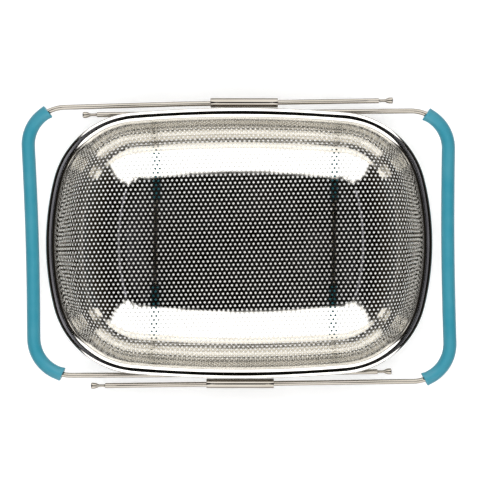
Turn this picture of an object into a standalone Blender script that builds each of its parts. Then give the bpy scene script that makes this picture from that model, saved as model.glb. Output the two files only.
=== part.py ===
"""Over-the-sink colander: an oval perforated steel bowl in a rolled rim, two wire feet in silicone
sleeves, and two U-shaped wire handles that slide outwards in pairs of guide tubes under the rim.

Metres, +Z up. The origin is on the counter, under the middle of the bowl. X runs along the bowl,
and the handles pull out along it. Each handle has one arm in an outer tube and one in an inner tube,
and the left one is modelled as the right one is, then turned half a turn about Z.
"""

import math
from collections import namedtuple

import bmesh
import bpy
from mathutils import Matrix, Vector

# Sheet, clearance, the overrun of cuts and the distance within which loose points are one
SHEET = 0.0005
GAP = 0.0003
OVERRUN = 0.002
WELD = 0.000001

# Rim: its plan is an oval of three arcs, and its edge is rolled into a bead. A bulge is how far an end
# or a side bows out from a straight line across the whole width or length
RIM_LENGTH = 0.3604
RIM_WIDTH = 0.2524
RIM_TOP = 0.0948
END_BULGE = 0.034755
SIDE_BULGE = 0.014345
CORNER_ARC = 0.0820
BEAD_DIAMETER = 0.0048
BEAD_OPENS_AT = math.radians(150)
BEAD_CLOSES_AT = math.radians(-130)
FLANGE_REACH = 0.00895
FLANGE_DROP = 0.0009
FLANGE_CORNER = 0.0012
SKIRT_DEPTH = 0.0080

# Bowl
FOOT_LIFT = 0.0120
FLOOR_CORNER = 0.0520
WALL_SLOPE = math.radians(82)
PLAIN_BAND = 0.0090
HOLE_PITCH = 0.0300
OPEN_SHARE = 0.26

# Steel wire and the guide tubes that carry the handles
WIRE = 0.0048
TUBE_OUTSIDE = 0.0090
TUBE_BORE = 0.0072
TUBE_LENGTH = 0.0632
BACK_TUBES_X = 0.0046
FRONT_TUBES_X = 0.0008

# Handles, each in its own frame: +X is the way it pulls out. An arm is measured from the middle of
# the bowl to its tip, and a standoff from the rim's end to the crossbar's middle line. Each handle
# lies a little askew in its tubes, and a pinched one is narrower at its crossbar than in its tubes
HANDLE_REST_Y = -0.0003
CROSSBAR_BOW = 0.0012
HANDLE_BEND = 0.0350
STRAIGHT_PAST_TUBE = 0.0140
LEFT_OUTER_ARM = 0.1461
LEFT_INNER_ARM = 0.1406
LEFT_OUTER_STANDOFF = 0.0163
LEFT_INNER_STANDOFF = 0.0141
LEFT_OUTER_GRIP = math.radians(63.5)
LEFT_INNER_GRIP = math.radians(76)
LEFT_PINCH = 0.0013
LEFT_SKEW = math.radians(0.95)
RIGHT_OUTER_ARM = 0.1406
RIGHT_INNER_ARM = 0.1451
RIGHT_OUTER_STANDOFF = 0.0161
RIGHT_INNER_STANDOFF = 0.0171
RIGHT_OUTER_GRIP = math.radians(69)
RIGHT_INNER_GRIP = math.radians(62)
RIGHT_PINCH = 0.0002
RIGHT_SKEW = math.radians(0.75)
CRIMP_LENGTH = 0.0138
CRIMP_NECK_WIDTH = 0.0028
CRIMP_NECK_HEIGHT = 0.0078
CRIMP_TIP_WIDTH = 0.0058
CRIMP_TIP_HEIGHT = 0.0052
GRIP_DIAMETER = 0.0124

# Wire feet and their sleeves. The feet lean a little in plan. Their places are shares of the rim's
# length, or of the way from the X axis to the floor's edge
LEFT_FOOT_SHARE = -0.2381
RIGHT_FOOT_SHARE = 0.2586
FOOT_LEAN = math.radians(0.8)
SLEEVE_DIAMETER = 0.0080
SLEEVE_FLAT = 0.0004
FOOT_STRAIGHT_SHARE = 0.51
SLEEVE_START_SHARE = 0.74
SLEEVE_END_ANGLE = math.radians(37)
FOOT_RETURN_FROM = math.radians(42)
FOOT_RETURN_TO = math.radians(64)
FOOT_END_RISE = 0.0030

# Edges sharper than this are not shaded round
SHARP_ANGLE = math.radians(35)

# Points along the outline of a quarter of the oval, and along bends
END_STEPS = 3
CORNER_STEPS = 8
SIDE_STEPS = 3
BEAD_STEPS = 7
BEND_STEPS = 7
BOW_STEPS = 4
FOOT_STEPS = 4
WALL_STEPS = 2
TUBE_SIDES = 16
WIRE_RESOLUTION = 2
GRIP_RESOLUTION = 3

# Where the crimp's sections lie, as shares of its length from its start, with how far each
# section has gone from round wire to the neck and on to the tip
CRIMP_SHARES = (
    (0.00, 0.0, 0.0),
    (0.08, 1.0, 0.0),
    (0.50, 1.0, 0.0),
    (0.68, 1.0, 1.0),
    (1.00, 1.0, 1.0),
)

# Sizes that follow
BEAD_RADIUS = BEAD_DIAMETER / 2
BEAD_Z = RIM_TOP - BEAD_RADIUS
FLANGE_TOP = RIM_TOP - FLANGE_DROP
FLOOR_TOP = FOOT_LIFT + SHEET
BOWL_EDGE_Z = FLANGE_TOP - SHEET / 2 - FLANGE_CORNER
BOWL_EDGE_OFFSET = -FLANGE_REACH + SHEET + GAP
ARC_RISE = FLOOR_CORNER * (1 - math.cos(WALL_SLOPE))
WALL_LENGTH = (BOWL_EDGE_Z - FLOOR_TOP - ARC_RISE) / math.sin(WALL_SLOPE)
ARC_LENGTH = FLOOR_CORNER * WALL_SLOPE
BLANK_REACH = ARC_LENGTH + WALL_LENGTH
WALL_SPREAD = FLOOR_CORNER * math.sin(WALL_SLOPE) + WALL_LENGTH * math.cos(WALL_SLOPE)
FLOOR_OFFSET = BOWL_EDGE_OFFSET - WALL_SPREAD

TUBE_RADIUS = TUBE_OUTSIDE / 2
TUBE_Z = BEAD_Z - BEAD_RADIUS - GAP - TUBE_RADIUS
WALL_Y_AT_TUBES = RIM_WIDTH / 2 + BOWL_EDGE_OFFSET - (BOWL_EDGE_Z - TUBE_Z) / math.tan(WALL_SLOPE)
INNER_TUBE_Y = WALL_Y_AT_TUBES + (SHEET + GAP + TUBE_RADIUS) / math.sin(WALL_SLOPE)
OUTER_TUBE_Y = INNER_TUBE_Y + GAP + TUBE_OUTSIDE

ARM_STRAIGHT = TUBE_LENGTH / 2 + STRAIGHT_PAST_TUBE

FOOT_TOUCH = SHEET + GAP + WIRE / 2
FOOT_LOW = FLOOR_TOP - (SLEEVE_DIAMETER / 2 - SLEEVE_FLAT)
SLEEVE_BORE = WIRE + 2 * GAP

# One handle's sizes. Its x values say where the crossbar's middle line lies on either arm's side
Handle = namedtuple("Handle", "side turn outer_arm inner_arm outer_x inner_x outer_grip inner_grip pinch")
LEFT_HANDLE = Handle(
    "left", math.pi + LEFT_SKEW, LEFT_OUTER_ARM, LEFT_INNER_ARM, RIM_LENGTH / 2 + LEFT_OUTER_STANDOFF,
    RIM_LENGTH / 2 + LEFT_INNER_STANDOFF, LEFT_OUTER_GRIP, LEFT_INNER_GRIP, LEFT_PINCH,
)
RIGHT_HANDLE = Handle(
    "right", RIGHT_SKEW, RIGHT_OUTER_ARM, RIGHT_INNER_ARM, RIM_LENGTH / 2 + RIGHT_OUTER_STANDOFF,
    RIM_LENGTH / 2 + RIGHT_INNER_STANDOFF, RIGHT_OUTER_GRIP, RIGHT_INNER_GRIP, RIGHT_PINCH,
)


def smooth(share):
    """0 to 1 with level ends, as a bend goes from one straight to the next."""
    share = min(max(share, 0), 1)
    return share * share * (3 - 2 * share)


# The oval

def arc_radius(chord, bulge):
    """The radius of the arc that bows out this far over this chord."""
    return ((chord / 2) ** 2 + bulge**2) / (2 * bulge)


END_ARC = arc_radius(RIM_WIDTH, END_BULGE)
SIDE_ARC = arc_radius(RIM_LENGTH, SIDE_BULGE)
END_CENTRE = Vector((RIM_LENGTH / 2 - END_ARC, 0))
SIDE_CENTRE = Vector((0, RIM_WIDTH / 2 - SIDE_ARC))


def corner_centre():
    """The centre of the corner arc, which touches the end arc and the side arc from inside."""
    to_end = END_ARC - CORNER_ARC
    to_side = SIDE_ARC - CORNER_ARC
    between = SIDE_CENTRE - END_CENTRE
    along = (to_end**2 - to_side**2 + between.length_squared) / (2 * between.length)
    across = math.sqrt(to_end**2 - along**2)
    direction = between.normalized()
    normal = Vector((-direction.y, direction.x))
    foot = END_CENTRE + direction * along
    return max((foot + normal * across, foot - normal * across), key=lambda point: point.x + point.y)


CORNER_CENTRE = corner_centre()
END_STOPS = math.atan2(CORNER_CENTRE.y, CORNER_CENTRE.x - END_CENTRE.x)
SIDE_STARTS = math.atan2(CORNER_CENTRE.y - SIDE_CENTRE.y, CORNER_CENTRE.x)


def quarter_point(angle, offset):
    """The point of the oval, grown by offset, whose outward normal has this angle, up to 90 degrees."""
    if angle < END_STOPS:
        centre, radius = END_CENTRE, END_ARC
    elif angle > SIDE_STARTS:
        centre, radius = SIDE_CENTRE, SIDE_ARC
    else:
        centre, radius = CORNER_CENTRE, CORNER_ARC
    return centre + (radius + offset) * Vector((math.cos(angle), math.sin(angle)))


def outline(offset):
    """The oval as one closed list of plan points, the same number of them for every offset."""
    angles = []
    for start, stop, steps in (
        (0, END_STOPS, END_STEPS),
        (END_STOPS, SIDE_STARTS, CORNER_STEPS),
        (SIDE_STARTS, math.pi / 2, SIDE_STEPS),
    ):
        angles += [start + (stop - start) * step / steps for step in range(steps)]
    quarter = [quarter_point(angle, offset) for angle in angles]
    top = quarter_point(math.pi / 2, offset)
    half = quarter + [top] + [Vector((-p.x, p.y)) for p in reversed(quarter[1:])]
    return half + [-p for p in half]


def oval_y(x, offset):
    """How far the oval, grown by offset, lies from the X axis at this x, on its side or corner arc."""
    x = abs(x)
    if x < (SIDE_ARC + offset) * math.cos(SIDE_STARTS):
        centre, radius = SIDE_CENTRE, SIDE_ARC + offset
    else:
        centre, radius = CORNER_CENTRE, CORNER_ARC + offset
    return centre.y + math.sqrt(radius**2 - (x - centre.x) ** 2)


def plan_normal(x, y, offset):
    """The outward normal of the oval nearest to a plan point, and how far out the point lies."""
    point = Vector((abs(x), abs(y)))
    from_end = point - END_CENTRE
    from_side = point - SIDE_CENTRE
    if math.atan2(from_end.y, from_end.x) < END_STOPS:
        arm, radius = from_end, END_ARC
    elif math.atan2(from_side.y, from_side.x) > SIDE_STARTS:
        arm, radius = from_side, SIDE_ARC
    else:
        arm, radius = point - CORNER_CENTRE, CORNER_ARC
    normal = arm.normalized()
    return Vector((math.copysign(normal.x, x), math.copysign(normal.y, y))), arm.length - radius - offset


def drawn(x, y, depth):
    """Where a point of the flat blank lies once the bowl is drawn. depth runs through the sheet,
    from its inner face."""
    normal, reach = plan_normal(x, y, FLOOR_OFFSET)
    if reach <= 0:
        return Vector((x, y, FLOOR_TOP - depth))
    slope = min(reach / FLOOR_CORNER, WALL_SLOPE)
    straight = max(reach - ARC_LENGTH, 0)
    spread = (FLOOR_CORNER + depth) * math.sin(slope) + straight * math.cos(slope)
    rise = FLOOR_CORNER - (FLOOR_CORNER + depth) * math.cos(slope) + straight * math.sin(slope)
    move = spread - reach
    return Vector((x + normal.x * move, y + normal.y * move, FLOOR_TOP + rise))


def ring_surface(profile):
    """A bmesh with a surface right round the oval. Each point of the profile, as (offset, height),
    becomes one ring, extruded from the ring before it."""
    bm = bmesh.new()
    ring = [bm.verts.new((*point, profile[0][1])) for point in outline(profile[0][0])]
    edges = [bm.edges.new(pair) for pair in zip(ring, ring[1:] + ring[:1])]
    for offset, z in profile[1:]:
        extruded = bmesh.ops.extrude_edge_only(bm, edges=edges)["geom"]
        edges = [item for item in extruded if isinstance(item, bmesh.types.BMEdge)]
        new = [item for item in extruded if isinstance(item, bmesh.types.BMVert)]
        ring = [min(new, key=lambda vertex: (vertex.co - old.co).length_squared) for old in ring]
        for vertex, point in zip(ring, outline(offset)):
            vertex.co = (*point, z)
    bmesh.ops.recalc_face_normals(bm, faces=bm.faces)
    return bm


# Making objects

def fresh_collection(name):
    collection = bpy.data.collections.new(name)
    bpy.context.scene.collection.children.link(collection)
    return collection


def make_material(name, colour, metallic, roughness):
    material = bpy.data.materials.new(name)
    material.use_nodes = True
    shader = material.node_tree.nodes["Principled BSDF"]
    shader.inputs["Base Color"].default_value = (*colour, 1)
    shader.inputs["Metallic"].default_value = metallic
    shader.inputs["Roughness"].default_value = roughness
    material.diffuse_color = (*colour, 1)
    return material


def place(obj, collection, material=None, parent=None):
    collection.objects.link(obj)
    if material:
        obj.data.materials.clear()
        obj.data.materials.append(material)
    obj.parent = parent
    return obj


def object_from(name, bm, collection, material=None, parent=None):
    mesh = bpy.data.meshes.new(name)
    bm.to_mesh(mesh)
    bm.free()
    return place(bpy.data.objects.new(name, mesh), collection, material, parent)


def shade(obj):
    obj.data.shade_smooth()
    obj.data.set_sharp_from_angle(angle=SHARP_ANGLE)


def hide_helper(obj):
    obj.hide_render = True
    obj.display_type = "WIRE"
    return obj


def boolean(obj, other, operation):
    modifier = obj.modifiers.new(operation.title(), "BOOLEAN")
    modifier.operation = operation
    modifier.solver = "EXACT"
    modifier.object = other


def solidify(obj, thickness, offset):
    modifier = obj.modifiers.new("Thickness", "SOLIDIFY")
    modifier.thickness = thickness
    modifier.offset = offset


def wire_curve(name, points, diameter, resolution, capped=True):
    """A round wire along points, as a curve object that is in no collection yet."""
    data = bpy.data.curves.new(name, "CURVE")
    data.dimensions = "3D"
    data.bevel_depth = diameter / 2
    data.bevel_resolution = resolution
    data.use_fill_caps = capped
    spline = data.splines.new("POLY")
    spline.points.add(len(points) - 1)
    for target, point in zip(spline.points, points):
        target.co = (*point, 1)
    return bpy.data.objects.new(name, data)


def plate_curve(name, points, half_thickness):
    """A flat plate inside a closed outline, as a curve object that is in no collection yet."""
    data = bpy.data.curves.new(name, "CURVE")
    data.dimensions = "2D"
    data.fill_mode = "BOTH"
    data.extrude = half_thickness
    spline = data.splines.new("POLY")
    spline.points.add(len(points) - 1)
    spline.use_cyclic_u = True
    for target, point in zip(spline.points, points):
        target.co = (*point, 0, 1)
    return bpy.data.objects.new(name, data)


def to_mesh_object(obj, collection, material=None, parent=None):
    """Replaces an object with the mesh that it evaluates to, its loose caps welded."""
    if not obj.users_collection:
        collection.objects.link(obj)
    bpy.context.view_layer.update()
    evaluated = obj.evaluated_get(bpy.context.evaluated_depsgraph_get())
    mesh = bpy.data.meshes.new_from_object(evaluated)
    name, matrix = obj.name, obj.matrix_world.copy()
    bpy.data.objects.remove(obj)
    bm = bmesh.new()
    bm.from_mesh(mesh)
    bmesh.ops.remove_doubles(bm, verts=bm.verts, dist=WELD)
    made = object_from(name, bm, collection, material, parent)
    made.matrix_world = matrix
    return made


# Bowl

def face_up(bm):
    for face in bm.faces:
        if face.normal.z < 0:
            face.normal_flip()


def perforated_sheet(collection):
    """A flat honeycomb of webs around six-sided holes, wide enough for the blank."""
    bm = bmesh.new()
    row_step = HOLE_PITCH * math.sqrt(3) / 2
    rows = math.ceil((RIM_WIDTH / 2 + BLANK_REACH) / row_step)
    columns = math.ceil((RIM_LENGTH / 2 + BLANK_REACH) / HOLE_PITCH)
    for row in range(-rows, rows + 1):
        for column in range(-columns, columns + 1):
            x = (column + (row % 2) / 2) * HOLE_PITCH
            y = row * row_step
            if plan_normal(x, y, FLOOR_OFFSET)[1] > BLANK_REACH + HOLE_PITCH:
                continue
            bmesh.ops.create_circle(
                bm, cap_ends=True, segments=6, radius=HOLE_PITCH / math.sqrt(3),
                matrix=Matrix.Translation((x, y, 0)),
            )
    bmesh.ops.remove_doubles(bm, verts=bm.verts, dist=HOLE_PITCH / 100)
    web = HOLE_PITCH * (1 - math.sqrt(OPEN_SHARE))
    inner = [edge for edge in bm.edges if len(edge.link_faces) == 2]
    bmesh.ops.bevel(bm, geom=inner, offset=web / 2, offset_type="OFFSET", segments=1, affect="EDGES")
    holes = [face for face in bm.faces if len(face.verts) >= 6]
    bmesh.ops.delete(bm, geom=holes, context="FACES")
    face_up(bm)
    sheet = object_from("basket_bowl", bm, collection)
    solidify(sheet, SHEET, -1)
    return sheet


def make_bowl(collection, helpers, material):
    """The blank is cut and banded while flat, and its points then move to where drawing takes them."""
    sheet = perforated_sheet(helpers)
    blank_edge = FLOOR_OFFSET + BLANK_REACH
    band_start = blank_edge - PLAIN_BAND
    trim = plate_curve("bowl_trim", outline(band_start + OVERRUN), 2 * SHEET)
    trim = hide_helper(to_mesh_object(trim, helpers))
    band = ring_surface([(band_start, 0), (blank_edge, 0)])
    face_up(band)
    band = hide_helper(object_from("bowl_band", band, helpers))
    solidify(band, SHEET, -1)
    boolean(sheet, trim, "INTERSECT")
    boolean(sheet, band, "UNION")
    bowl = to_mesh_object(sheet, collection, material)
    bm = bmesh.new()
    bm.from_mesh(bowl.data)
    bmesh.ops.triangulate(bm, faces=bm.faces)
    for vertex in bm.verts:
        vertex.co = drawn(vertex.co.x, vertex.co.y, -vertex.co.z)
    bm.to_mesh(bowl.data)
    bm.free()
    shade(bowl)
    return bowl


# Rim

def rim_profile():
    """The middle line of the rim's sheet as (offset from the rim's edge, height): skirt, flange, bead."""
    half = SHEET / 2
    skirt_x = -FLANGE_REACH + half
    flange_z = FLANGE_TOP - half
    lean = SKIRT_DEPTH / math.tan(WALL_SLOPE)
    points = [(skirt_x - lean, FLANGE_TOP - SKIRT_DEPTH)]
    for angle in (WALL_SLOPE, WALL_SLOPE / 2, 0):
        points.append((
            skirt_x + FLANGE_CORNER * (1 - math.sin(angle)),
            flange_z - FLANGE_CORNER * (1 - math.cos(angle)),
        ))
    radius = BEAD_RADIUS - half
    start = -BEAD_RADIUS + radius * math.cos(BEAD_OPENS_AT)
    points.append((start - half, flange_z))
    for step in range(BEAD_STEPS + 1):
        angle = BEAD_OPENS_AT + (BEAD_CLOSES_AT - BEAD_OPENS_AT) * step / BEAD_STEPS
        points.append((-BEAD_RADIUS + radius * math.cos(angle), BEAD_Z + radius * math.sin(angle)))
    return points


def make_rim(collection, material):
    rim = object_from("rim_ring", ring_surface(rim_profile()), collection, material)
    solidify(rim, SHEET, 0)
    shade(rim)


# Guide tubes

def make_tubes(collection, material):
    for side, sign, x in (("back", 1, BACK_TUBES_X), ("front", -1, FRONT_TUBES_X)):
        for place_name, y in (("inner", INNER_TUBE_Y), ("outer", OUTER_TUBE_Y)):
            bm = bmesh.new()
            bmesh.ops.create_cone(
                bm, cap_ends=False, segments=TUBE_SIDES, radius1=TUBE_RADIUS, radius2=TUBE_RADIUS,
                depth=TUBE_LENGTH, matrix=Matrix.Rotation(math.pi / 2, 4, "Y"),
            )
            bmesh.ops.recalc_face_normals(bm, faces=bm.faces)
            tube = object_from(f"{side}_{place_name}_tube", bm, collection, material)
            tube.location = (x, sign * y, TUBE_Z)
            solidify(tube, (TUBE_OUTSIDE - TUBE_BORE) / 2, -1)
            shade(tube)


# Handles

def bend_points(centre, radius, start, stop, steps):
    return [
        Vector((
            centre.x + radius * math.cos(start + (stop - start) * step / steps),
            centre.y + radius * math.sin(start + (stop - start) * step / steps),
            0,
        ))
        for step in range(steps + 1)
    ]


def crossbar(handle):
    """The centres of both bends and the middle line between them, from the outer arm to the inner one."""
    front = Vector((handle.outer_x - HANDLE_BEND, -OUTER_TUBE_Y + handle.pinch + HANDLE_BEND, 0))
    back = Vector((handle.inner_x - HANDLE_BEND, INNER_TUBE_Y - handle.pinch - HANDLE_BEND, 0))
    bow = []
    for step in range(1, BOW_STEPS):
        share = step / BOW_STEPS
        point = front.lerp(back, share)
        bow.append(point + Vector((HANDLE_BEND - CROSSBAR_BOW * math.sin(math.pi * share), 0, 0)))
    return front, bow, back


def arm_end(arm, y):
    """The points on the middle line of an arm, from where it leaves its tube to its crimp and its tip."""
    crimp = [Vector((CRIMP_LENGTH * (1 - share) - arm, y, 0)) for share, _, _ in CRIMP_SHARES]
    return [Vector((ARM_STRAIGHT, y, 0))] + crimp


def handle_path(handle):
    """From the tip of the outer arm, round the crossbar, to the tip of the inner arm."""
    front, bow, back = crossbar(handle)
    return (
        arm_end(handle.outer_arm, -OUTER_TUBE_Y)[::-1]
        + bend_points(front, HANDLE_BEND, -math.pi / 2, 0, BEND_STEPS)
        + bow
        + bend_points(back, HANDLE_BEND, 0, math.pi / 2, BEND_STEPS)
        + arm_end(handle.inner_arm, INNER_TUBE_Y)
    )


def grip_path(handle):
    """The crossbar with most of each bend."""
    front, bow, back = crossbar(handle)
    return (
        bend_points(front, HANDLE_BEND, -handle.outer_grip, 0, BEND_STEPS)
        + bow
        + bend_points(back, HANDLE_BEND, 0, handle.inner_grip, BEND_STEPS)
    )


def crimp_size(share):
    """The wire's width and height this far into its crimp: round, then the flat neck, then the tip."""
    neck = tip = 0
    for (from_share, _, _), (_, next_neck, next_tip) in zip(CRIMP_SHARES, CRIMP_SHARES[1:]):
        if share > from_share:
            neck, tip = next_neck, next_tip
    width = WIRE + (CRIMP_NECK_WIDTH - WIRE) * neck + (CRIMP_TIP_WIDTH - CRIMP_NECK_WIDTH) * tip
    height = WIRE + (CRIMP_NECK_HEIGHT - WIRE) * neck + (CRIMP_TIP_HEIGHT - CRIMP_NECK_HEIGHT) * tip
    return width, height


def squeeze_tips(obj, handle):
    """Flattens the ends of both arms, which stop the handle in its tubes."""
    for vertex in obj.data.vertices:
        inner, outer = (INNER_TUBE_Y, handle.inner_arm), (-OUTER_TUBE_Y, handle.outer_arm)
        middle, arm = inner if vertex.co.y > 0 else outer
        past_crimp = CRIMP_LENGTH - arm - vertex.co.x
        if past_crimp > WELD:
            width, height = crimp_size(past_crimp / CRIMP_LENGTH)
            vertex.co.y = middle + (vertex.co.y - middle) * width / WIRE
            vertex.co.z = vertex.co.z * height / WIRE


def make_handles(collection, steel, silicone):
    for handle in (LEFT_HANDLE, RIGHT_HANDLE):
        slide = bpy.data.objects.new(f"{handle.side}_handle_slide", None)
        place(slide, collection)
        slide.location = (0, HANDLE_REST_Y, TUBE_Z)
        slide.rotation_euler.z = handle.turn
        slide.empty_display_size = TUBE_LENGTH
        bpy.context.view_layer.update()
        wire = wire_curve(f"{handle.side}_handle_wire", handle_path(handle), WIRE, WIRE_RESOLUTION)
        wire = to_mesh_object(wire, collection, steel)
        squeeze_tips(wire, handle)
        wire.parent = slide
        shade(wire)
        name = f"{handle.side}_grip_sleeve"
        grip = wire_curve(name, grip_path(handle), GRIP_DIAMETER, GRIP_RESOLUTION, capped=False)
        grip = to_mesh_object(grip, collection, silicone)
        grip.parent = slide
        solidify(grip, (GRIP_DIAMETER - WIRE) / 2 - GAP, -1)
        shade(grip)


# Feet

def foot_point(foot_x, sign, slope, below):
    """A point under or beside the bowl, where its profile has this slope, this far out from its inner
    face. The sign says whether the front or the back is meant."""
    radius = FLOOR_CORNER + below
    offset = FLOOR_OFFSET + radius * math.sin(slope)
    x = foot_x + sign * oval_y(foot_x, offset) * math.tan(FOOT_LEAN)
    return Vector((x, sign * oval_y(x, offset), FLOOR_TOP + FLOOR_CORNER - radius * math.cos(slope)))


def floor_point(foot_x, sign, share):
    """A point of the wire under the floor, at this share of the way to the floor's edge: level at first,
    then down to the level of the sleeves."""
    dip = smooth((share - FOOT_STRAIGHT_SHARE) / (1 - FOOT_STRAIGHT_SHARE))
    edge = foot_point(foot_x, sign, 0, 0)
    z = FLOOR_TOP - FOOT_TOUCH - (FOOT_LOW - FOOT_TOUCH) * dip
    return Vector((foot_x + (edge.x - foot_x) * share, edge.y * share, z))


def return_point(foot_x, sign, slope):
    """A point of the wire beyond the sleeve's low stretch, where it comes back to the wall."""
    back = smooth((slope - FOOT_RETURN_FROM) / (FOOT_RETURN_TO - FOOT_RETURN_FROM))
    return foot_point(foot_x, sign, slope, FOOT_LOW + (FOOT_TOUCH - FOOT_LOW) * back)


def spread(start, stop, steps):
    """From start up to stop, which is left out."""
    return [start + (stop - start) * step / steps for step in range(steps)]


def sleeve_path(foot_x, sign):
    """The stretch of a foot that its sleeve covers."""
    path = [floor_point(foot_x, sign, share) for share in spread(SLEEVE_START_SHARE, 1, FOOT_STEPS)]
    slopes = spread(0, SLEEVE_END_ANGLE, FOOT_STEPS) + [SLEEVE_END_ANGLE]
    return path + [return_point(foot_x, sign, slope) for slope in slopes]


def foot_end(foot_x, sign):
    """One foot's wire from the middle of the floor to its end at the top of the front or back wall."""
    shares = [0] + spread(FOOT_STRAIGHT_SHARE, SLEEVE_START_SHARE, WALL_STEPS)
    path = [floor_point(foot_x, sign, share) for share in shares] + sleeve_path(foot_x, sign)
    slopes = spread(FOOT_RETURN_FROM, FOOT_RETURN_TO, FOOT_STEPS)
    slopes += spread(FOOT_RETURN_TO, WALL_SLOPE, WALL_STEPS) + [WALL_SLOPE]
    path += [return_point(foot_x, sign, slope) for slope in slopes]
    top = path[-1] - path[-2]
    return path + [path[-1] + top.normalized() * FOOT_END_RISE]


def foot_path(foot_x):
    return foot_end(foot_x, -1)[:0:-1] + foot_end(foot_x, 1)


def make_feet(collection, helpers, steel, silicone):
    bm = bmesh.new()
    bmesh.ops.create_cube(bm, size=1, matrix=Matrix.Diagonal((RIM_LENGTH, RIM_WIDTH, SLEEVE_DIAMETER, 1)))
    counter = hide_helper(object_from("counter", bm, helpers))
    counter.location.z = -SLEEVE_DIAMETER / 2
    for side, share in (("left", LEFT_FOOT_SHARE), ("right", RIGHT_FOOT_SHARE)):
        foot_x = share * RIM_LENGTH
        wire = wire_curve(f"{side}_foot_wire", foot_path(foot_x), WIRE, WIRE_RESOLUTION)
        place(wire, collection, steel)
        for end, sign in (("front", -1), ("back", 1)):
            name = f"{side}_{end}_foot_sleeve"
            path = sleeve_path(foot_x, sign)
            sleeve = wire_curve(name, path, SLEEVE_DIAMETER, WIRE_RESOLUTION, capped=False)
            sleeve = to_mesh_object(sleeve, collection, silicone)
            solidify(sleeve, (SLEEVE_DIAMETER - SLEEVE_BORE) / 2, -1)
            boolean(sleeve, counter, "DIFFERENCE")
            shade(sleeve)


def main():
    for obj in list(bpy.data.objects):
        bpy.data.objects.remove(obj)
    parts = fresh_collection("over_sink_colander")
    helpers = fresh_collection("cutters")
    steel = make_material("polished_steel", (0.62, 0.60, 0.58), 1.0, 0.18)
    wire_steel = make_material("wire_steel", (0.60, 0.58, 0.56), 1.0, 0.22)
    silicone = make_material("teal_silicone", (0.07, 0.35, 0.45), 0.0, 0.55)
    make_bowl(parts, helpers, steel)
    make_rim(parts, steel)
    make_tubes(parts, wire_steel)
    make_handles(parts, wire_steel, silicone)
    make_feet(parts, helpers, wire_steel, silicone)


main()
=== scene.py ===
"""Looks of the over-the-sink colander: the finely perforated bowl, its rolled rim, the guide tubes, the
sliding wire handles with their silicone grips, and the wire feet with their sleeves."""

import math

import bpy
import numpy as np
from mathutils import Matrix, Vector


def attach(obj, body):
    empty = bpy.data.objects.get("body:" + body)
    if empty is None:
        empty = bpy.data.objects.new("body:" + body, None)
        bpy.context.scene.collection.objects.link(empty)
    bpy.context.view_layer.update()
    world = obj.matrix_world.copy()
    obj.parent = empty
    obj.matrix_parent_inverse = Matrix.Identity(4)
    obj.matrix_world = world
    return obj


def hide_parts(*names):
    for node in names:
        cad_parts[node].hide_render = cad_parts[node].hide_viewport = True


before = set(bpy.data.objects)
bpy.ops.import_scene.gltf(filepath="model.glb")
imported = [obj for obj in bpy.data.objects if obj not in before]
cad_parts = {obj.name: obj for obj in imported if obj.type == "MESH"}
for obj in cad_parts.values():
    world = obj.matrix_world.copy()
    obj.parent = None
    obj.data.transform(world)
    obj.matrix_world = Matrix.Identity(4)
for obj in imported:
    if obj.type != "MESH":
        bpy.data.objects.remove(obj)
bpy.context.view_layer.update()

# Sizes in metres, as the frame has them
SHEET = 0.0005
GAP = 0.0003
RIM_LENGTH = 0.3604
RIM_WIDTH = 0.2524
RIM_TOP = 0.0948
END_ARC = 0.2465
CORNER_ARC = 0.0820
SIDE_ARC = 1.1390
BEAD_DIAMETER = 0.0048
BEAD_CLOSES_AT = math.radians(-130)
FLANGE_REACH = 0.00895
FLANGE_DROP = 0.0009
FLANGE_CORNER = 0.0012
SKIRT_DEPTH = 0.0080
RIM_ROLL_REACH = 0.0033
RIM_FLAT_ENDS_AT = 0.00539
RIM_FLAT_DROP = 0.00003
RIM_CORNER = 0.0037

FOOT_LIFT = 0.0120
FLOOR_CORNER = 0.0520
WALL_SLOPE = math.radians(82)
PLAIN_BAND = 0.0090

# The real perforation: a sheet of round holes in staggered rows, which lie a little askew on the bowl
HOLE_DIAMETER = 0.0023
HOLE_SIDES = 12
ROW_STEP = np.array([0.00464, 0.000124])
SLANT_STEP = np.array([0.002165, 0.004152])
FIRST_HOLE = np.array([-0.00127, -0.00105])

WIRE = 0.0048
TUBE_OUTSIDE = 0.0090
TUBE_BORE = 0.0072
TUBE_LENGTH = 0.0632
TUBE_LIP = 0.0003
BACK_TUBES_X = 0.0046
FRONT_TUBES_X = 0.0008

# The handles, each in its own frame, where +X is the way it pulls out. An arm is measured from the middle
# of the bowl to its tip, the crossbar's x values are those at its two ends, and the grip reaches this far
# round each bend. The grip's ends are cut at a lean, which fades out over the lean's reach
HANDLE_REST_Y = -0.0003
CROSSBAR_BOW = 0.0012
HANDLE_BEND = 0.0350
ARM_STRAIGHT = 0.0456
CRIMP_LENGTH = 0.0138
GRIP_DIAMETER = 0.0124
GRIP_LIP = 0.0006
GRIP_FLARE = 0.0004
GRIP_FLARE_LENGTH = 0.006
GRIP_END_LEAN = math.radians(9)
LEAN_REACH = 0.008
HANDLES = {
    "left": {
        "turn": math.radians(180.95), "pinch": 0.0013,
        "outer_arm": 0.1461, "outer_x": 0.1965, "outer_grip": math.radians(63.5),
        "inner_arm": 0.1406, "inner_x": 0.1943, "inner_grip": math.radians(76),
    },
    "right": {
        "turn": math.radians(0.75), "pinch": 0.0002,
        "outer_arm": 0.1406, "outer_x": 0.1963, "outer_grip": math.radians(72.5),
        "inner_arm": 0.1451, "inner_x": 0.1973, "inner_grip": math.radians(65.5),
    },
}
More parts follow.
